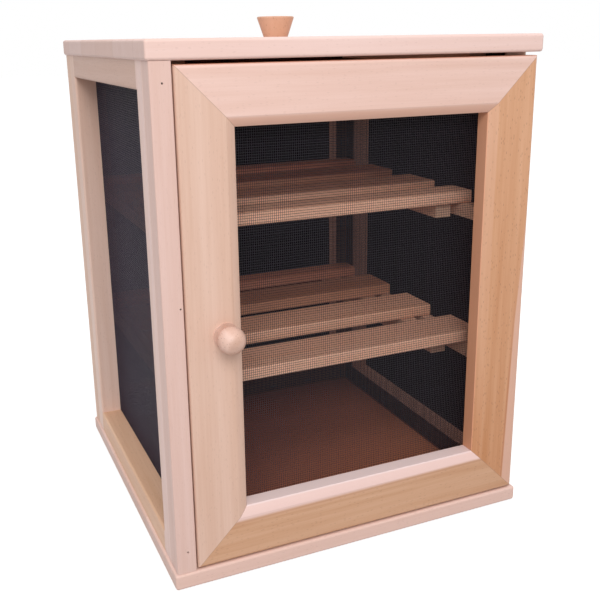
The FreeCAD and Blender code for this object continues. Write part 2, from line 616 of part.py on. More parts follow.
def catch():
    """Magnetic catch on the left side frame, and its steel plate on the door's back."""
    low, high = FLOOR + CATCH_HEIGHT - CATCH_LENGTH / 2.0, FLOOR + CATCH_HEIGHT + CATCH_LENGTH / 2.0
    face = DOOR_BACK + CATCH_PLATE_THICKNESS + CATCH_GAP
    middle_x, middle_z = MESH_LEFT + CATCH_WIDTH / 2.0, FLOOR + CATCH_HEIGHT
    magnet = box(middle_x - MAGNET_WIDTH / 2.0, face, middle_z - MAGNET_LENGTH / 2.0,
                 middle_x + MAGNET_WIDTH / 2.0, face + MAGNET_DEPTH, middle_z + MAGNET_LENGTH / 2.0)
    case = box(MESH_LEFT, face, low, MESH_LEFT + CATCH_WIDTH, face + CATCH_DEPTH, high)
    case = case.makeFillet(ARRIS_ROUND, running(case.Edges, RIGHTWARD))
    screws = []
    for side in (-1, 1):
        head = V(MESH_LEFT + CATCH_WIDTH, face + CATCH_DEPTH / 2.0,
                 middle_z + side * CATCH_SCREW_SPREAD / 2.0)
        screws.append(small_screw(head, RIGHTWARD * -1, CATCH_WIDTH + CATCH_SCREW_BITE))
    plate = box(middle_x - CATCH_PLATE_WIDTH / 2.0, DOOR_BACK, middle_z - CATCH_PLATE_LENGTH / 2.0,
                middle_x + CATCH_PLATE_WIDTH / 2.0, DOOR_BACK + CATCH_PLATE_THICKNESS,
                middle_z + CATCH_PLATE_LENGTH / 2.0)
    plate_screws = []
    for side in (-1, 1):
        head = V(middle_x, DOOR_BACK + CATCH_PLATE_THICKNESS,
                 middle_z + side * PLATE_SCREW_SPREAD / 2.0)
        plate_screws.append(small_screw(head, BACKWARD * -1, PLATE_SCREW_LENGTH))
    return {
        "catch_body": cut_all(case, [magnet] + screws),
        "catch_magnet": magnet,
        "catch_screws": screws,
        "catch_plate": cut_all(plate, plate_screws),
        "catch_plate_screws": plate_screws,
    }


# ---------------------------------------------------------------- build
def carcass_nodes():
    """Base, side and back frames, closing strip and its nails."""
    nodes = {"base_board": board(0.0, BASE_THICKNESS)}
    nodes.update(side_members("left", LEFT, INNER_LEFT))
    nodes.update(side_members("right", RIGHT, INNER_RIGHT))
    nodes.update(back_members())
    nails, holes = strip_nails()
    nodes["closing_strip"] = cut_all(closing_strip(), holes)
    nodes["left_front_stile"] = cut_all(nodes["left_front_stile"], holes)
    nodes["strip_nails"] = nails
    nodes.update(mesh_sheets())
    for shelf, top, _, _, bearer_height in SHELVES:
        nodes[shelf + "_left_cleat"] = cleat(MESH_LEFT, 1, top, bearer_height)
        nodes[shelf + "_right_cleat"] = cleat(MESH_RIGHT, -1, top, bearer_height)
    return nodes


def door_nodes():
    """Door members, mesh and knob."""
    nodes = door_members()
    knob, fastener = door_knob()
    nodes["door_left_stile"] = nodes["door_left_stile"].cut(fastener)
    nodes["door_knob"] = knob
    nodes["door_knob_screw"] = fastener
    nodes["door_mesh"], nodes["door_mesh_staples"] = door_mesh()
    return nodes


def lid_nodes():
    """Lid board with its knob and the two battens that keep it in place."""
    knob, fastener = lid_knob()
    return {
        "lid_board": board(FRAME_TOP, LID_THICKNESS).cut(fastener),
        "lid_left_batten": lid_batten(-1),
        "lid_right_batten": lid_batten(1),
        "lid_knob": knob,
        "lid_knob_screw": fastener,
    }


def fit_hinges(nodes):
    """Adds both hinges and cuts their screws and mortises into the wood."""
    pins, frame_screws, door_screws = [], [], []
    for name, height in zip(("lower", "upper"), HINGE_HEIGHTS):
        parts = hinge(height)
        nodes[name + "_hinge_frame_leaf"] = parts["frame_leaf"]
        nodes[name + "_hinge_door_leaf"] = parts["door_leaf"]
        pins.append(parts["pin"])
        frame_screws += parts["frame_screws"]
        door_screws += parts["door_screws"]
        nodes["door_right_stile"] = cut_all(nodes["door_right_stile"],
                                            [parts["mortise"]] + parts["door_screws"])
        nodes["right_front_stile"] = cut_all(nodes["right_front_stile"], parts["frame_screws"])
    nodes["hinge_pins"] = pins
    nodes["frame_hinge_screws"] = frame_screws
    nodes["door_hinge_screws"] = door_screws


def fit_catch(nodes):
    """Adds the catch and cuts its screws into the wood and the mesh."""
    nodes.update(catch())
    nodes["door_left_stile"] = cut_all(nodes["door_left_stile"], nodes["catch_plate_screws"])
    for node in ("left_front_stile", "left_side_mesh"):
        nodes[node] = cut_all(nodes[node], nodes["catch_screws"])


def main():
    nodes = carcass_nodes()
    nodes.update(door_nodes())
    nodes.update(lid_nodes())
    for shelf, top, front, front_slat, bearer_height in SHELVES:
        nodes.update(shelf_pieces(shelf + "_shelf", top, front, front_slat, bearer_height))
    fit_hinges(nodes)
    fit_catch(nodes)
    covering = [shape for node, shape in nodes.items()
                if "cleat" in node or "shelf" in node or node == "catch_body"]
    nodes["frame_mesh_staples"] = frame_staples(covering)
    for node, shape in nodes.items():
        export(node, shape)


main()
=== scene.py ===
"""Looks of a countertop food safe in beech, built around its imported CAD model.

The CAD nodes keep their shapes and get procedural materials. The four wire cloths are woven here
wire by wire and replace their CAD sheets.
"""
import math
import random

import bpy
import numpy as np
from mathutils import Euler, Matrix, Vector


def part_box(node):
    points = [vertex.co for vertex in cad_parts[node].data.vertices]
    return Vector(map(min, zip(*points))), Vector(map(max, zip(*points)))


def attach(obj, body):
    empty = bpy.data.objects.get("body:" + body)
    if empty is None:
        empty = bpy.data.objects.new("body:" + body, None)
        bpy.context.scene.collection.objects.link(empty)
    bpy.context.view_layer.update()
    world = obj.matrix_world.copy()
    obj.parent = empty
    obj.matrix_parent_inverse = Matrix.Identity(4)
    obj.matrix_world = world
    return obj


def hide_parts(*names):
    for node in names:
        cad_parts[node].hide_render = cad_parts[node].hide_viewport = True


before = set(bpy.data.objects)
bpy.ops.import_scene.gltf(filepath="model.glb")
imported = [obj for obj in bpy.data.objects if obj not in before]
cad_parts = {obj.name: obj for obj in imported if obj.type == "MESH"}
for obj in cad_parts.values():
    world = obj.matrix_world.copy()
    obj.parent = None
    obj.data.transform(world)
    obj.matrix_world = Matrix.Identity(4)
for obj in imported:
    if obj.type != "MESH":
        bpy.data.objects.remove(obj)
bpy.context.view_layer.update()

X, Y, Z = 0, 1, 2
MM = 0.001

# ------------------------------------------------------------------ camera
CAMERA_PLACE = (-0.36382, -0.85787, 0.49993)
CAMERA_YAW, CAMERA_PITCH, CAMERA_ROLL = -23.54395, -15.99706, -0.8363   # degrees
CAMERA_LENS = 50.2741
CAMERA_SHIFT = (0.01607, -0.03636)

# ------------------------------------------------------------------ wire cloth
WARP_PITCH = 2.04 * MM       # between vertical wires
WEFT_PITCH = 2.35 * MM       # between horizontal wires
WIRE_WIDTH = 0.38 * MM
CRIMP = 0.13 * MM            # how far a wire swings to each side of the cloth's middle
WANDER = 0.11 * MM           # how far the crossings stray from a perfect grid
WANDER_WAVES = 5
SHORT_WAVE, LONG_WAVE = 0.035, 0.12
CALM_EDGE = 0.012            # the strays fade out this near to the cloth's edges
SHEET_MARGIN = 1.2 * MM      # of a sheet's width and height, left free of crossings
WIRE_END = 0.5 * MM          # from a wire's end to the sheet's edge

# ------------------------------------------------------------------ light
KEY_DIRECTION = (-0.30, -0.72, 0.62)
KEY_AIM = (0, -0.19, 0.25)   # the middle of the door
KEY_DISTANCE = 1.8
KEY_SIZE = 1.0
KEY_LEVEL = 0.56             # share of a full light level that the key gives a face turned to it
KEY_COLOUR = (1.0, 0.975, 0.945)
SKY_LOW, SKY_HIGH = (0.54, 0.54, 0.55), (0.86, 0.86, 0.88)
FLOOR_HALF = 12
FLOOR_DROP = 0.0004          # the floor lies this far below the base board
FLAG_LIGHT = (0.34, 0.24, 0.20)           # share of the light that passes a flag
# Painted shade: for camera rays a flag darkens what lies beyond it, and beyond a flag the floor and the world
# turn nearly black.
SEEN_THROUGH_SHADE = (0.52, 0.38, 0.36)          # share of what lies beyond a flag that the camera sees
SEEN_THROUGH_LEFT_SHADE = (0.92, 0.74, 0.74)         # the same for the flag of the lit left side
SHADE_BEHIND_CLOTH = (0.0012, 0.0013, 0.0035)   # colour of the floor and the world beyond a flag
LEFT_FLAG_WITHIN = 0.02 * MM              # the left flag lies within its sheet's inner face,
RIGHT_FLAG_CLEAR, BACK_FLAG_CLEAR = 0.65 * MM, 0.7 * MM   # and these stand clear of theirs


def linear(r, g, b):
    """A colour given as 0 to 255, in the shader's linear values."""
    return tuple((c / 255 / 12.92) if c <= 10 else ((c / 255 + 0.055) / 1.055) ** 2.4 for c in (r, g, b))


def by_axis(axis, along, across):
    """One value on an axis and another on the other two."""
    return tuple(along if i == axis else across for i in range(3))


# ------------------------------------------------------------------ shader helpers
class Shader:
    """A node tree under construction. Each method returns the new node's output."""

    def __init__(self, tree):
        self.tree = tree
        tree.nodes.clear()

    def add(self, kind, values=None, out=0, **settings):
        node = self.tree.nodes.new(kind)
        for key, value in settings.items():
            setattr(node, key, value)
        for key, value in (values or {}).items():
            self.put(node.inputs[key], value)
        return node if out is None or not node.outputs else node.outputs[out]

    def put(self, socket, value):
        if isinstance(value, bpy.types.NodeSocket):
            self.tree.links.new(value, socket)
        elif socket.type == "RGBA" and len(value) == 3:
            socket.default_value = (*value, 1.0)
        else:
            socket.default_value = value

    def math(self, operation, a, b=0.0, c=0.0, clamp=False):
        return self.add("ShaderNodeMath", {0: a, 1: b, 2: c}, operation=operation, use_clamp=clamp)

    def vector(self, operation, a, b=(0, 0, 0), out=0):
        return self.add("ShaderNodeVectorMath", {0: a, 1: b}, out, operation=operation)

    def mix(self, factor, a, b):
        """Two colours mixed. Inputs 6 and 7 and output 2 are the node's sockets for colours."""
        return self.add("ShaderNodeMix", {0: factor, 6: a, 7: b}, 2, data_type="RGBA")

    def tint(self, colour, mask, share, tone):
        """A share of a tone laid over a colour where the mask is 1."""
        return self.mix(self.math("MULTIPLY", mask, share), colour, tone)

    def span(self, value, low, high, to_low=0.0, to_high=1.0, smooth=False):
        kind = "SMOOTHSTEP" if smooth else "LINEAR"
        return self.add("ShaderNodeMapRange", {0: value, 1: low, 2: high, 3: to_low, 4: to_high},
                        interpolation_type=kind, clamp=True)

    def line(self, distance, outer, inner):
        """1 within inner of the place where the distance is 0, and 0 beyond outer."""
        return self.span(self.math("ABSOLUTE", distance), outer, inner, smooth=True)

    def swing(self, value, share, middle):
        """A value's departure from a half, times a share, about a middle."""
        return self.math("MULTIPLY_ADD", self.math("SUBTRACT", value, 0.5), share, middle)

    def scaled(self, vector, scale):
        return self.vector("MULTIPLY", vector, scale)

    def noise(self, vector, detail=2.0, roughness=0.5):
        return self.add("ShaderNodeTexNoise", {"Vector": vector, "Scale": 1.0, "Detail": detail,
                                               "Roughness": roughness, "Distortion": 0.0})

    def parts(self, vector):
        return self.add("ShaderNodeSeparateXYZ", {0: vector}, None).outputs


def material(name):
    made = bpy.data.materials.new(name)
    made.use_nodes = True
    return made, Shader(made.node_tree)


# ------------------------------------------------------------------ beech
PALE_REACH, DEEP_REACH = (0.7, 1.0, 1.2), (0.7, 1.0, 1.3)   # of a spread, in red, green and blue
# Scales of the figure per metre, across the grain and along it.
SWAY_SCALE, BAND_SCALE, STREAK_SCALE = (9.0, 4.0), (52.0, 2.6), (190.0, 4.5)
FIBRE_SCALE, FLECK_SCALE = (1100.0, 22.0), (620.0, 190.0)
SWAY = 0.006                 # how far the figure wanders sideways
# Painted light and shade along a member: how far it turns paler or deeper from its middle.
SHADE_RAMP = 0.35                 # change of level from the middle of a member to its pale or deep place
FIBRES = 0.3
FLECK = linear(122, 74, 46)
FLECK_CHANCE = 0.62          # share of the cells that hold no fleck
FLECK_SHARE = 0.42
END_GRAIN_SHARE, END_GRAIN_LEVEL = 0.35, 0.72


def beech(name, axis, tone, spread, seed, bands, streaks, flecks, shade_ramp, gloss, extra):
    """Planed beech with its grain along an axis: broad bands, streaks, fine fibres and short dark
    flecks, greyer on end grain. Its colours lie a spread to each side of the tone. The ramp is
    (pale place, deep place) along the grain, painted light and shade that turns the member paler
    towards one and deeper towards the other, and extra adds to the colour from the place."""
    pale = linear(*(min(255, c + spread * k) for c, k in zip(tone, PALE_REACH)))
    deep = linear(*(c - spread * k for c, k in zip(tone, DEEP_REACH)))
    made, s = material(name)
    roll = random.Random(seed)
    place = s.add("ShaderNodeTexCoord", out=None)
    here = s.vector("ADD", place.outputs["Object"], tuple(roll.uniform(-3, 3) for _ in range(3)))

    def stretch(across, along):
        return s.scaled(here, by_axis(axis, along, across))

    sway = s.add("ShaderNodeTexNoise", {"Vector": stretch(*SWAY_SCALE), "Scale": 1.0, "Detail": 1.0}, "Color")
    sway = s.vector("SUBTRACT", sway, (0.5, 0.5, 0.5))
    here = s.vector("ADD", here, s.scaled(sway, by_axis(axis, 0.0, SWAY)))
    band = s.noise(stretch(*BAND_SCALE), 2.0, 0.55)
    streak = s.noise(stretch(*STREAK_SCALE), 3.0, 0.6)
    fibre = s.noise(stretch(*FIBRE_SCALE), 2.0, 0.6)
    level = s.swing(band, 2.4 * bands, 0.5)
    level = s.swing(streak, 1.8 * streaks, level)
    # Painted light and shade: paler towards one place along the grain, deeper towards the other.
    if shade_ramp:
        along = s.parts(place.outputs["Object"])[axis]
        level = s.math("ADD", level, s.span(along, shade_ramp[0], shade_ramp[1], -SHADE_RAMP, SHADE_RAMP))
    level = s.math("MULTIPLY_ADD", s.math("SUBTRACT", fibre, 0.5), 1.4 * FIBRES, level, clamp=True)
    colour = s.mix(level, pale, deep)

    cells = s.add("ShaderNodeTexVoronoi", {"Vector": stretch(*FLECK_SCALE), "Scale": 1.0, "Randomness": 1.0},
                  None, voronoi_dimensions="3D", feature="F1")
    chosen = s.math("GREATER_THAN", s.parts(cells.outputs["Color"])[0], FLECK_CHANCE)
    dash = s.math("MULTIPLY", s.span(cells.outputs["Distance"], 0.34, 0.16, smooth=True), chosen)
    colour = s.tint(colour, dash, FLECK_SHARE * flecks, FLECK)

    facing = s.vector("DOT_PRODUCT", place.outputs["Normal"], by_axis(axis, 1.0, 0.0), "Value")
    end = s.span(s.math("ABSOLUTE", facing), 0.80, 0.97, smooth=True)
    colour = s.tint(colour, end, END_GRAIN_SHARE, tuple(c * END_GRAIN_LEVEL for c in deep))
    if extra:
        colour = extra(s, place.outputs["Object"], colour)

    height = s.math("MULTIPLY_ADD", dash, -0.5, fibre)
    bump = s.add("ShaderNodeBump", {"Strength": 0.16, "Distance": 0.00012, "Height": height})
    rough = s.swing(fibre, 0.16, gloss)
    shader = s.add("ShaderNodeBsdfPrincipled", {"Base Color": colour, "Roughness": rough, "Normal": bump})
    s.add("ShaderNodeOutputMaterial", {"Surface": shader})
    return made


def give(node, made):
    """A CAD node gets one material on all its slots."""
    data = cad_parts[node].data
    data.materials.clear()
    data.materials.append(made)
    data.polygons.foreach_set("material_index", np.zeros(len(data.polygons), np.int32))


def grain_axis(node):
    """The axis along which a node is longest."""
    lo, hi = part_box(node)
    size = hi - lo
    return max(range(3), key=lambda i: size[i])


# ------------------------------------------------------------------ edges of the door
door_lo, door_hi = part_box("door_left_stile")
DOOR_LEFT, DOOR_RIGHT = door_lo.x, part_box("door_right_stile")[1].x
DOOR_BOTTOM, DOOR_TOP = door_lo.z, door_hi.z
DOOR_MEMBER = door_hi.x - door_lo.x
LINE_OFFSET = 0.0012         # from the sapwood's edge to the middle of the dark line beside it
# From one height to another, the right stile's sapwood grows by a width.
STILE_SAPWOOD = ((0.350, 0.210, 0.0085), (0.210, 0.018, 0.0050), (0.400, 0.480, 0.0028))
# The bottom rail's pale band along the window edge is sapwood where it runs past the rounded edge and a
# painted highlight on the rounding itself.
RAIL_SAPWOOD_AND_HIGHLIGHT_WIDTHS = (0.0130, 0.0098)   # its width at the left and at the right of the bottom rail
STILE_SLOPE = (0.0105, 0.0080)    # the slope to the window, by the distance from the window's wall
TOP_SLOPE = (0.0095, 0.0060)

# The mitre tone is a dark joint. The door edge tone is painted shade for the door's top edge, in the gap
# under the lid.
MITRE_TONE, GAP_SHADE_TONE = linear(150, 112, 92), linear(205, 132, 92)
STILE_SAPWOOD_TONE, STILE_LINE_TONE = linear(226, 184, 166), linear(182, 112, 74)
# Painted light: a pale highlight for the slope to the window, and a lighter tone for the window's wall.
STILE_SLOPE_HIGHLIGHT_TONE, STILE_WALL_LIGHT_TONE = linear(226, 184, 162), linear(236, 168, 134)
RAIL_SAPWOOD_AND_HIGHLIGHT_TONE, RAIL_LINE_TONE = linear(238, 207, 201), linear(182, 132, 104)
# Painted light: near white for the window's bottom wall.
RAIL_WALL_LIGHT_TONE = (0.91, 0.73, 0.71)   # already linear
# Painted shade for the top rail's slope, which faces down to the window.
TOP_SLOPE_SHADE_TONE = linear(222, 172, 148)


def mitre_line_and_gap_shade(s, place, colour):
    """A thin darker line where the door's members meet at their mitres, and painted shade along the door's
    top edge, in the gap under the lid.
    """
    x, _, z = s.parts(place)
    across = s.math("MINIMUM", s.math("SUBTRACT", x, DOOR_LEFT), s.math("SUBTRACT", DOOR_RIGHT, x))
    up = s.math("MINIMUM", s.math("SUBTRACT", z, DOOR_BOTTOM), s.math("SUBTRACT", DOOR_TOP, z))
    line = s.line(s.math("SUBTRACT", across, up), 0.55 * MM, 0.15 * MM)
    colour = s.tint(colour, line, 0.45, MITRE_TONE)
    # Painted shade: the door's top edge turns red-brown, as if shaded under the lid.
    top = s.span(z, DOOR_TOP - 0.8 * MM, DOOR_TOP - 0.2 * MM, smooth=True)
    return s.tint(colour, top, 0.75, GAP_SHADE_TONE)


def right_stile_edge(s, place, colour):
    """The mitre line, the pinkish sapwood along the right stile's outer edge, a painted highlight on the
    slope to the window that fades towards the bottom, and painted light on the window's wall.
    """
    x, _, z = s.parts(place)
    width = 0.0
    for start, end, growth in STILE_SAPWOOD:
        width = s.math("ADD", width, s.span(z, start, end, 0.0, growth))
    inside = s.math("SUBTRACT", width, s.math("SUBTRACT", DOOR_RIGHT, x))
    line = s.line(s.math("ADD", inside, LINE_OFFSET), 0.0016, 0.0003)
    low = s.span(z, 0.30, 0.12, smooth=True)
    colour = s.tint(colour, s.math("MULTIPLY", line, low), 0.55, STILE_LINE_TONE)
    band = s.span(inside, -0.0008, 0.0008, smooth=True)
    colour = s.tint(colour, band, 0.75, STILE_SAPWOOD_TONE)
    into = s.math("SUBTRACT", x, DOOR_RIGHT - DOOR_MEMBER)
    # Painted highlight on the slope to the window, stronger towards the top.
    share = s.span(z, 0.10, 0.40, 0.06, 0.32)
    colour = s.tint(colour, s.span(into, *STILE_SLOPE, smooth=True), share, STILE_SLOPE_HIGHLIGHT_TONE)
    # Painted light on the window's wall.
    colour = s.tint(colour, s.span(into, 0.0012, 0.0002), 0.6, STILE_WALL_LIGHT_TONE)
    return mitre_line_and_gap_shade(s, place, colour)


def bottom_rail_edge(s, place, colour):
    """The mitre line, a pale band along the bottom rail's window edge, which is sapwood beyond the rounded
    edge and painted highlight on the rounding, and painted light, near white, on the window's bottom wall.
    """
    x, _, z = s.parts(place)
    window = DOOR_BOTTOM + DOOR_MEMBER
    width = s.span(x, DOOR_LEFT + 0.050, DOOR_RIGHT - 0.055, *RAIL_SAPWOOD_AND_HIGHLIGHT_WIDTHS)
    inside = s.math("SUBTRACT", width, s.math("SUBTRACT", window, z))
    line = s.line(s.math("ADD", inside, LINE_OFFSET), 0.0018, 0.0002)
    colour = s.tint(colour, line, 0.35, RAIL_LINE_TONE)
    # Pale band: sapwood, and a painted highlight on the rounded edge.
    band = s.span(inside, -0.0012, 0.0026, smooth=True)
    colour = s.tint(colour, band, 0.92, RAIL_SAPWOOD_AND_HIGHLIGHT_TONE)
    # Painted light on the window's bottom wall.
    wall = s.span(z, window - 0.0016, window - 0.0002)
    return mitre_line_and_gap_shade(s, place, s.mix(wall, colour, RAIL_WALL_LIGHT_TONE))


def top_rail_edge(s, place, colour):
    """The mitre line, and painted shade, a darker warmer tone, on the slope down to the window."""
    z = s.parts(place)[2]
    window = DOOR_TOP - DOOR_MEMBER
    slope = s.span(z, *(window + rise for rise in TOP_SLOPE), smooth=True)
    return mitre_line_and_gap_shade(s, place, s.tint(colour, slope, 0.7, TOP_SLOPE_SHADE_TONE))


# ------------------------------------------------------------------ boards
STAVE_COUNT = 5              # in the depth of the lid board and of the base board
STAVE_WIDTH = (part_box("lid_board")[1].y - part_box("lid_board")[0].y) / STAVE_COUNT
STAVE_TONE, GLUE_TONE = linear(206, 158, 132), linear(160, 116, 92)
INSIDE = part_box("left_front_stile")[1].x     # inner face of the left side frame
SHADED_TOP_HEIGHTS = (0.0150, 0.0158)             # the base board's upper face starts between these
# Painted shade for the board's top inside the body, deepest further in and lightest at the front right.
INSIDE_SHADE_TONE, FRONT_RIGHT_SHADE_TONE = linear(158, 98, 84), linear(208, 134, 98)


def staves(s, place, colour):
    """A board glued up from staves that differ a little in tone, with faint glue lines. The front
    and back staves are cut to half their width."""
    count = s.math("MULTIPLY_ADD", s.parts(place)[1], 1 / STAVE_WIDTH, (STAVE_COUNT + 1) / 2)
    number = s.math("FLOOR", count)
    tone = s.add("ShaderNodeTexWhiteNoise", {"W": number}, noise_dimensions="1D")
    tone = s.math("MULTIPLY", tone, s.span(number, 0.2, 0.8, 0.0, 0.25))
    colour = s.mix(tone, colour, STAVE_TONE)
    edge = s.math("SUBTRACT", s.math("FRACT", s.math("ADD", count, 0.5)), 0.5)
    return s.tint(colour, s.line(edge, 0.008, 0.003), 0.30, GLUE_TONE)


def inside_shade(s, place, colour):
    """Painted shade on the board's top inside the body, darker and redder, least at its front right."""
    colour = staves(s, place, colour)
    x, y, z = s.parts(place)
    edge = s.math("SUBTRACT", -INSIDE, s.math("MAXIMUM", s.math("ABSOLUTE", x), s.math("ABSOLUTE", y)))
    within = s.math("MULTIPLY", s.span(edge, -0.001, 0.001), s.span(z, *SHADED_TOP_HEIGHTS))
    # Painted shade, lightest towards the front right.
    less_shade = s.span(s.math("MULTIPLY_ADD", y, -1.0, x), -0.15, 0.28, smooth=True)
    return s.mix(within, colour, s.mix(less_shade, INSIDE_SHADE_TONE, FRONT_RIGHT_SHADE_TONE))


# ------------------------------------------------------------------ the wooden nodes
# Tone in 0 to 255 as it looks in full light, spread, bands, streaks, flecks, painted shade ramp, extra.
MEMBERS = {
    "door_left_stile": ((222, 186, 167), 12, 0.45, 0.6, 0.25, None, mitre_line_and_gap_shade),
    # The right stile's ramp paints it darker towards the bottom, where less light falls.
    "door_right_stile": ((208, 153, 114), 18, 0.35, 0.6, 0.9, (0.42, 0.06), right_stile_edge),
    "door_top_rail": ((233, 198, 186), 11, 0.4, 0.6, 0.2, None, top_rail_edge),
    "door_bottom_rail": ((205, 158, 124), 18, 0.45, 0.6, 0.5, None, bottom_rail_edge),
    "closing_strip": ((224, 190, 179), 11, 0.3, 0.5, 0.15, None, None),
    "lid_board": ((235, 203, 194), 8, 0.5, 0.5, 0.2, None, staves),
    "base_board": ((230, 196, 184), 8, 0.4, 0.4, 0.3, None, inside_shade),
    "left_front_stile": ((236, 204, 194), 11, 0.45, 0.6, 0.25, None, None),
    # The left rear stile's ramp paints it darker towards its top.
    "left_rear_stile": ((234, 200, 184), 12, 0.4, 0.5, 0.25, (0.10, 0.46), None),
    "left_top_rail": ((208, 170, 152), 10, 0.4, 0.5, 0.4, None, None),
    "left_bottom_rail": ((228, 184, 152), 13, 0.5, 0.6, 0.4, None, None),
    "door_knob": ((224, 187, 171), 15, 0.8, 0.6, 0.8, None, None),
    "lid_knob": ((217, 170, 142), 9, 0.4, 0.35, 0.7, None, None),
}
PLAIN_MEMBER = ((224, 184, 160), 10, 0.45, 0.5, 0.4, None, None)
# Slat tones carry painted light: slats 1 and 2 are painted paler than 3 and 4, where more light falls.
SLATS = {"1": (253, 196, 168), "2": (246, 192, 162), "3": (218, 160, 128), "4": (228, 162, 134)}
SLAT_SPREAD = 12
PLANED_ROUGHNESS, TURNED_ROUGHNESS = 0.50, 0.42
GRAIN_AXES = {"base_board": X, "lid_board": X, "door_knob": Y, "lid_knob": Z}
WOODEN = ("stile", "rail", "slat", "batten", "cleat", "board", "closing_strip", "knob")

for number, node in enumerate(sorted(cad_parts)):
    if any(word in node for word in WOODEN) and "screw" not in node:
        tone, spread, bands, streaks, flecks, shade_ramp, extra = MEMBERS.get(node, PLAIN_MEMBER)
        if "slat" in node:
            tone, spread = SLATS[node[-1]], SLAT_SPREAD
        axis = GRAIN_AXES.get(node, grain_axis(node))
        gloss = TURNED_ROUGHNESS if "knob" in node else PLANED_ROUGHNESS
        give(node, beech(node + "_beech", axis, tone, spread, number, bands, streaks, flecks, shade_ramp, gloss,
                         extra))


# ------------------------------------------------------------------ metal and plastic
MARKS_ALONG, MARKS_ACROSS, MOTTLE_SCALE = 300.0, 4000.0, 260.0   # per metre
DULL_LEVEL = 0.72


def brushed(name, colour, metallic, roughness, grain, axis=Z):
    """Plated or moulded stock with fine marks along an axis and a soft mottle."""
    made, s = material(name)
    place = s.add("ShaderNodeTexCoord", out="Object")
    marks = s.noise(s.scaled(place, by_axis(axis, MARKS_ALONG, MARKS_ACROSS)), 2.0)
    mottle = s.noise(s.scaled(place, (MOTTLE_SCALE,) * 3), 3.0)
    dull = s.mix(s.span(mottle, 0.35, 0.75, 0.0, 0.5), colour, tuple(c * DULL_LEVEL for c in colour))
    rough = s.swing(marks, grain, roughness)
    bump = s.add("ShaderNodeBump", {"Strength": 0.12, "Distance": 0.00005, "Height": marks})
    shader = s.add("ShaderNodeBsdfPrincipled", {"Base Color": dull, "Metallic": metallic, "Roughness": rough,
                                                "Normal": bump})
    s.add("ShaderNodeOutputMaterial", {"Surface": shader})
    return made


zinc = brushed("hinge_zinc", (0.62, 0.60, 0.55), 1.0, 0.34, 0.25)
fastener = brushed("fastener_zinc", (0.50, 0.50, 0.50), 1.0, 0.38, 0.2, X)
old_nail = brushed("nail_iron", (0.10, 0.07, 0.06), 0.6, 0.6, 0.2, Y)
brown_plastic = brushed("catch_plastic", linear(120, 78, 52), 0.0, 0.45, 0.12)
ferrite = brushed("magnet_ferrite", (0.035, 0.035, 0.038), 0.2, 0.55, 0.15)
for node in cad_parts:
    if node == "catch_body":
        give(node, brown_plastic)
    elif node == "catch_magnet":
        give(node, ferrite)
    elif node == "strip_nails":
        give(node, old_nail)
    elif "leaf" in node or node in ("hinge_pins", "catch_plate"):
        give(node, zinc)
    elif "screw" in node or "staples" in node:
        give(node, fastener)


# ------------------------------------------------------------------ woven wire cloth
def wire_materials(name, colour):
    """Three shades of one dull grey wire."""
    shades = []
    for word, level in (("dull", 0.8), ("plain", 1.0), ("bright", 1.3)):
        made, s = material(name + "_" + word)
        shader = s.add("ShaderNodeBsdfPrincipled", {"Base Color": tuple(c * level for c in colour),
                                                    "Metallic": 0.0, "Roughness": 0.42})
        s.add("ShaderNodeOutputMaterial", {"Surface": shader})
        shades.append(made)
    return shades


# One wire in three colour copies: the door's as the base, the left side's painted lighter and bluer as lit,
# and the right side's and the back's painted darker as shaded.
DOOR_WIRES = wire_materials("door_wire", (0.020, 0.016, 0.024))
WIRES_PAINTED_LIT = wire_materials("painted_lit_wire", (0.042, 0.030, 0.058))
WIRES_PAINTED_SHADED = wire_materials("painted_shade_wire", (0.010, 0.010, 0.030))
SHADE_CHOICE = (0, 1, 1, 1, 2)   # most wires are plain


def wander(h, v, seed):
    """Slow strays of the crossings: a few waves over the cloth, each with its own direction."""
    roll = random.Random(seed)
    total = np.zeros_like(h)
    for _ in range(WANDER_WAVES):
        length = roll.uniform(SHORT_WAVE, LONG_WAVE)
        turn, phase = roll.uniform(0, math.pi), roll.uniform(0, 6.28)
        total += np.sin(2 * math.pi * (h * math.cos(turn) + v * math.sin(turn)) / length + phase)
    return total / 3.0


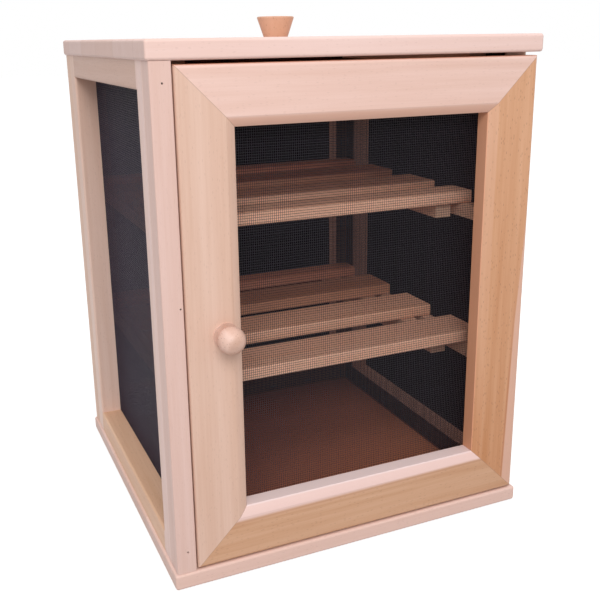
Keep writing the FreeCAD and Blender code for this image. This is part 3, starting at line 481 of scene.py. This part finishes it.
def tubes(name, rings, ridge, side, shades):
    """A mesh of three-sided tubes. rings is wires x rings x 3, and side and ridge are directions
    across the wires: the flat side turns away from ridge."""
    wires, count = rings.shape[:2]
    radius = WIRE_WIDTH / math.sqrt(3)
    corners = [radius * (math.cos(a) * side + math.sin(a) * ridge) for a in
               (math.pi / 2, math.pi * 7 / 6, math.pi * 11 / 6)]
    points = rings[:, :, None, :] + np.array(corners)[None, None, :, :]
    index = np.arange(wires * count * 3).reshape(wires, count, 3)
    a, b = index[:, :-1, :], index[:, 1:, :]
    turn = [1, 2, 0]
    quads = np.stack([a, a[:, :, turn], b[:, :, turn], b], axis=3).reshape(-1, 4)
    starts, ends = index[:, 0, ::-1], index[:, -1, :]
    if np.dot(np.cross(side, ridge), rings[0, -1] - rings[0, 0]) < 0:
        quads, starts, ends = quads[:, ::-1], starts[:, ::-1], ends[:, ::-1]
    corner_list = np.concatenate([quads.ravel(), starts.ravel(), ends.ravel()])
    sizes = np.concatenate([np.full(len(quads), 4), np.full(2 * wires, 3)])
    data = bpy.data.meshes.new(name)
    data.vertices.add(points.size // 3)
    data.vertices.foreach_set("co", points.astype(np.float32).ravel())
    data.loops.add(len(corner_list))
    data.loops.foreach_set("vertex_index", corner_list.astype(np.int32))
    data.polygons.add(len(sizes))
    data.polygons.foreach_set("loop_start", np.concatenate([[0], np.cumsum(sizes)[:-1]]).astype(np.int32))
    for made in shades:
        data.materials.append(made)
    roll = random.Random(name)
    shade = np.array([roll.choice(SHADE_CHOICE) for _ in range(wires)])
    indices = np.concatenate([np.repeat(shade, (count - 1) * 3), shade, shade])
    data.polygons.foreach_set("material_index", indices.astype(np.int32))
    smooth = np.concatenate([np.ones(len(quads), bool), np.zeros(2 * wires, bool)])
    data.polygons.foreach_set("use_smooth", smooth)
    data.update(calc_edges=True)
    data.validate()
    return in_scene(name, data)


def in_scene(name, data):
    made = bpy.data.objects.new(name, data)
    bpy.context.scene.collection.objects.link(made)
    return made


def weave(node, body, outward, seed, shades):
    """Plain woven cloth in the box of a CAD sheet, as one piece of vertical and one of horizontal wires."""
    lo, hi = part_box(node)
    normal = Y if abs(outward[Y]) > 0.5 else X
    across = X if normal == Y else Y
    width, tall = hi[across] - lo[across], hi[Z] - lo[Z]
    warps, wefts = int((width - SHEET_MARGIN) / WARP_PITCH) + 1, int((tall - SHEET_MARGIN) / WEFT_PITCH) + 1
    h = (np.arange(warps) - (warps - 1) / 2) * WARP_PITCH
    v = (np.arange(wefts) - (wefts - 1) / 2) * WEFT_PITCH
    grid_h, grid_v = np.meshgrid(h, v, indexing="ij")
    calm = np.clip(np.minimum(width / 2 - abs(grid_h), tall / 2 - abs(grid_v)) / CALM_EDGE, 0, 1)
    at_h = grid_h + WANDER * calm * wander(grid_h, grid_v, seed)
    at_v = grid_v + WANDER * calm * wander(grid_h, grid_v, seed + 1)
    swing = CRIMP * (1 - 2 * (np.add.outer(np.arange(warps), np.arange(wefts)) % 2))
    middle = (lo + hi) / 2

    def place(a, n, b):
        points = np.zeros(a.shape + (3,))
        points[..., across] = middle[across] + a
        points[..., normal] = middle[normal] + n
        points[..., Z] = middle[Z] + b
        return points

    inward = -np.array(outward, float)
    warp_calm, weft_calm = np.zeros((warps, 1)), np.zeros((wefts, 1))
    crossings = place(at_h, swing, at_v)
    bottom = place(at_h[:, :1], warp_calm, np.full((warps, 1), -tall / 2 + WIRE_END))
    top = place(at_h[:, -1:], warp_calm, np.full((warps, 1), tall / 2 - WIRE_END))
    warp = tubes(node + "_warp", np.concatenate([bottom, crossings, top], axis=1), inward,
                 np.eye(3)[across], shades)
    crossings = place(at_h, -swing, at_v).swapaxes(0, 1)
    first = place(np.full((wefts, 1), -width / 2 + WIRE_END), weft_calm, at_v.T[:, :1])
    last = place(np.full((wefts, 1), width / 2 - WIRE_END), weft_calm, at_v.T[:, -1:])
    weft = tubes(node + "_weft", np.concatenate([first, crossings, last], axis=1), inward,
                 np.eye(3)[Z], shades)
    for piece in (warp, weft):
        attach(piece, body)
        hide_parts(node)


weave("left_side_mesh", "root", (-1, 0, 0), 11, WIRES_PAINTED_LIT)
weave("right_side_mesh", "root", (1, 0, 0), 23, WIRES_PAINTED_SHADED)
weave("back_mesh", "root", (0, 1, 0), 37, WIRES_PAINTED_SHADED)
weave("door_mesh", "door", (0, -1, 0), 51, DOOR_WIRES)


# ------------------------------------------------------------------ stage
def plane(name, corners):
    data = bpy.data.meshes.new(name)
    data.from_pydata([Vector(c) for c in corners], [], [(0, 1, 2, 3)])
    made = in_scene(name, data)
    return made


def ray_kinds(s):
    """Three values, each 1 or 0: for rays that see the background, which come from the camera, off
    gloss or through glass, for rays that have passed a flag, and for rays from the camera."""
    path = s.add("ShaderNodeLightPath", out=None)
    rays = s.math("MAXIMUM", path.outputs["Is Camera Ray"], path.outputs["Is Glossy Ray"])
    rays = s.math("MAXIMUM", rays, path.outputs["Is Transmission Ray"])
    behind = s.math("GREATER_THAN", path.outputs["Transparent Depth"], 0.5)
    return rays, behind, path.outputs["Is Camera Ray"]


floor = plane("floor", [(x * FLOOR_HALF, y * FLOOR_HALF, -FLOOR_DROP) for x, y in
                        ((-1, -1), (1, -1), (1, 1), (-1, 1))])
floor_paint, s = material("floor_paint")
rays, behind, _ = ray_kinds(s)
grain = s.noise(s.scaled(s.add("ShaderNodeTexCoord", out="Object"), (6.0,) * 3), 3.0)
paint = s.add("ShaderNodeBsdfDiffuse", {"Color": s.mix(grain, (0.40, 0.38, 0.37), (0.43, 0.41, 0.40))})
pale = s.add("ShaderNodeAddShader", {0: s.add("ShaderNodeBsdfDiffuse", {"Color": (0.62, 0.62, 0.62)}),
                                     1: s.add("ShaderNodeEmission", {"Color": (1, 1, 1), "Strength": 0.62})})
# Painted shade: the floor turns nearly black where it is seen through a flag.
dark = s.add("ShaderNodeEmission", {"Color": SHADE_BEHIND_CLOTH, "Strength": 1.0})
shown = s.add("ShaderNodeMixShader", {0: behind, 1: pale, 2: dark})
s.add("ShaderNodeOutputMaterial", {"Surface": s.add("ShaderNodeMixShader", {0: rays, 1: paint, 2: shown})})
floor.data.materials.append(floor_paint)


# Flags stand inside the side and back cloth. They dim the light that comes in there. For camera rays
# a flag lays painted shade over what lies beyond it, and the floor and the world show painted shade,
# nearly black, for rays that have passed one.
def flag(name, start, end, share):
    """A card from one corner of the floor plan to another, up to the lid."""
    paint, s = material(name + "_paint")
    camera_ray = ray_kinds(s)[2]
    # For camera rays the flag lays painted shade over what lies beyond it.
    clear = s.add("ShaderNodeBsdfTransparent", {"Color": share})
    dim = s.add("ShaderNodeBsdfTransparent", {"Color": FLAG_LIGHT})
    both = s.add("ShaderNodeMixShader", {0: camera_ray, 1: dim, 2: clear})
    s.add("ShaderNodeOutputMaterial", {"Surface": both})
    low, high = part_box("base_board")[1].z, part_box("lid_board")[0].z
    card = plane(name, [(*start, low), (*end, low), (*end, high), (*start, high)])
    card.data.materials.append(paint)


left_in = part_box("left_side_mesh")[1].x - LEFT_FLAG_WITHIN
right_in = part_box("right_side_mesh")[0].x - RIGHT_FLAG_CLEAR
back_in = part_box("back_mesh")[0].y - BACK_FLAG_CLEAR
front_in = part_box("left_side_mesh")[0].y
flag("flag_left", (left_in, front_in), (left_in, back_in), SEEN_THROUGH_LEFT_SHADE)
flag("flag_right", (right_in, front_in), (right_in, back_in), SEEN_THROUGH_SHADE)
flag("flag_back", (left_in, back_in), (right_in, back_in), SEEN_THROUGH_SHADE)

world = bpy.data.worlds.new("studio")
bpy.context.scene.world = world
world.use_nodes = True
s = Shader(world.node_tree)
rays, behind, _ = ray_kinds(s)
up = s.parts(s.add("ShaderNodeTexCoord", out="Generated"))[2]
sky = s.mix(s.span(up, -0.1, 1.0), SKY_LOW, SKY_HIGH)
lit = s.add("ShaderNodeBackground", {"Color": sky, "Strength": 1.0})
white = s.add("ShaderNodeBackground", {"Color": (1, 1, 1), "Strength": 1.0})
# Painted shade: the world turns nearly black where it is seen through a flag.
dark = s.add("ShaderNodeBackground", {"Color": SHADE_BEHIND_CLOTH, "Strength": 1.0})
shown = s.add("ShaderNodeMixShader", {0: behind, 1: white, 2: dark})
s.add("ShaderNodeOutputWorld", {"Surface": s.add("ShaderNodeMixShader", {0: rays, 1: lit, 2: shown})})

aim = Vector(KEY_DIRECTION).normalized()
lamp = bpy.data.lights.new("key", "AREA")
lamp.shape = "DISK"
lamp.size = KEY_SIZE
lamp.energy = KEY_LEVEL * math.pi ** 2 * KEY_DISTANCE ** 2
lamp.color = KEY_COLOUR
key = in_scene("key", lamp)
key.location = Vector(KEY_AIM) + aim * KEY_DISTANCE
key.rotation_euler = aim.to_track_quat("Z", "Y").to_euler()

camera_data = bpy.data.cameras.new("camera")
camera_data.lens = CAMERA_LENS
camera_data.sensor_width = 36.0
camera_data.shift_x, camera_data.shift_y = CAMERA_SHIFT
camera_data.clip_start = 0.01
camera = in_scene("camera", camera_data)
turn = Euler((math.radians(90 + CAMERA_PITCH), 0, math.radians(CAMERA_YAW))).to_matrix()
camera.matrix_world = Matrix.Translation(CAMERA_PLACE) @ (
    turn @ Matrix.Rotation(math.radians(CAMERA_ROLL), 3, "Z")).to_4x4()
bpy.context.scene.camera = camera
bpy.context.scene.view_settings.view_transform = "Standard"
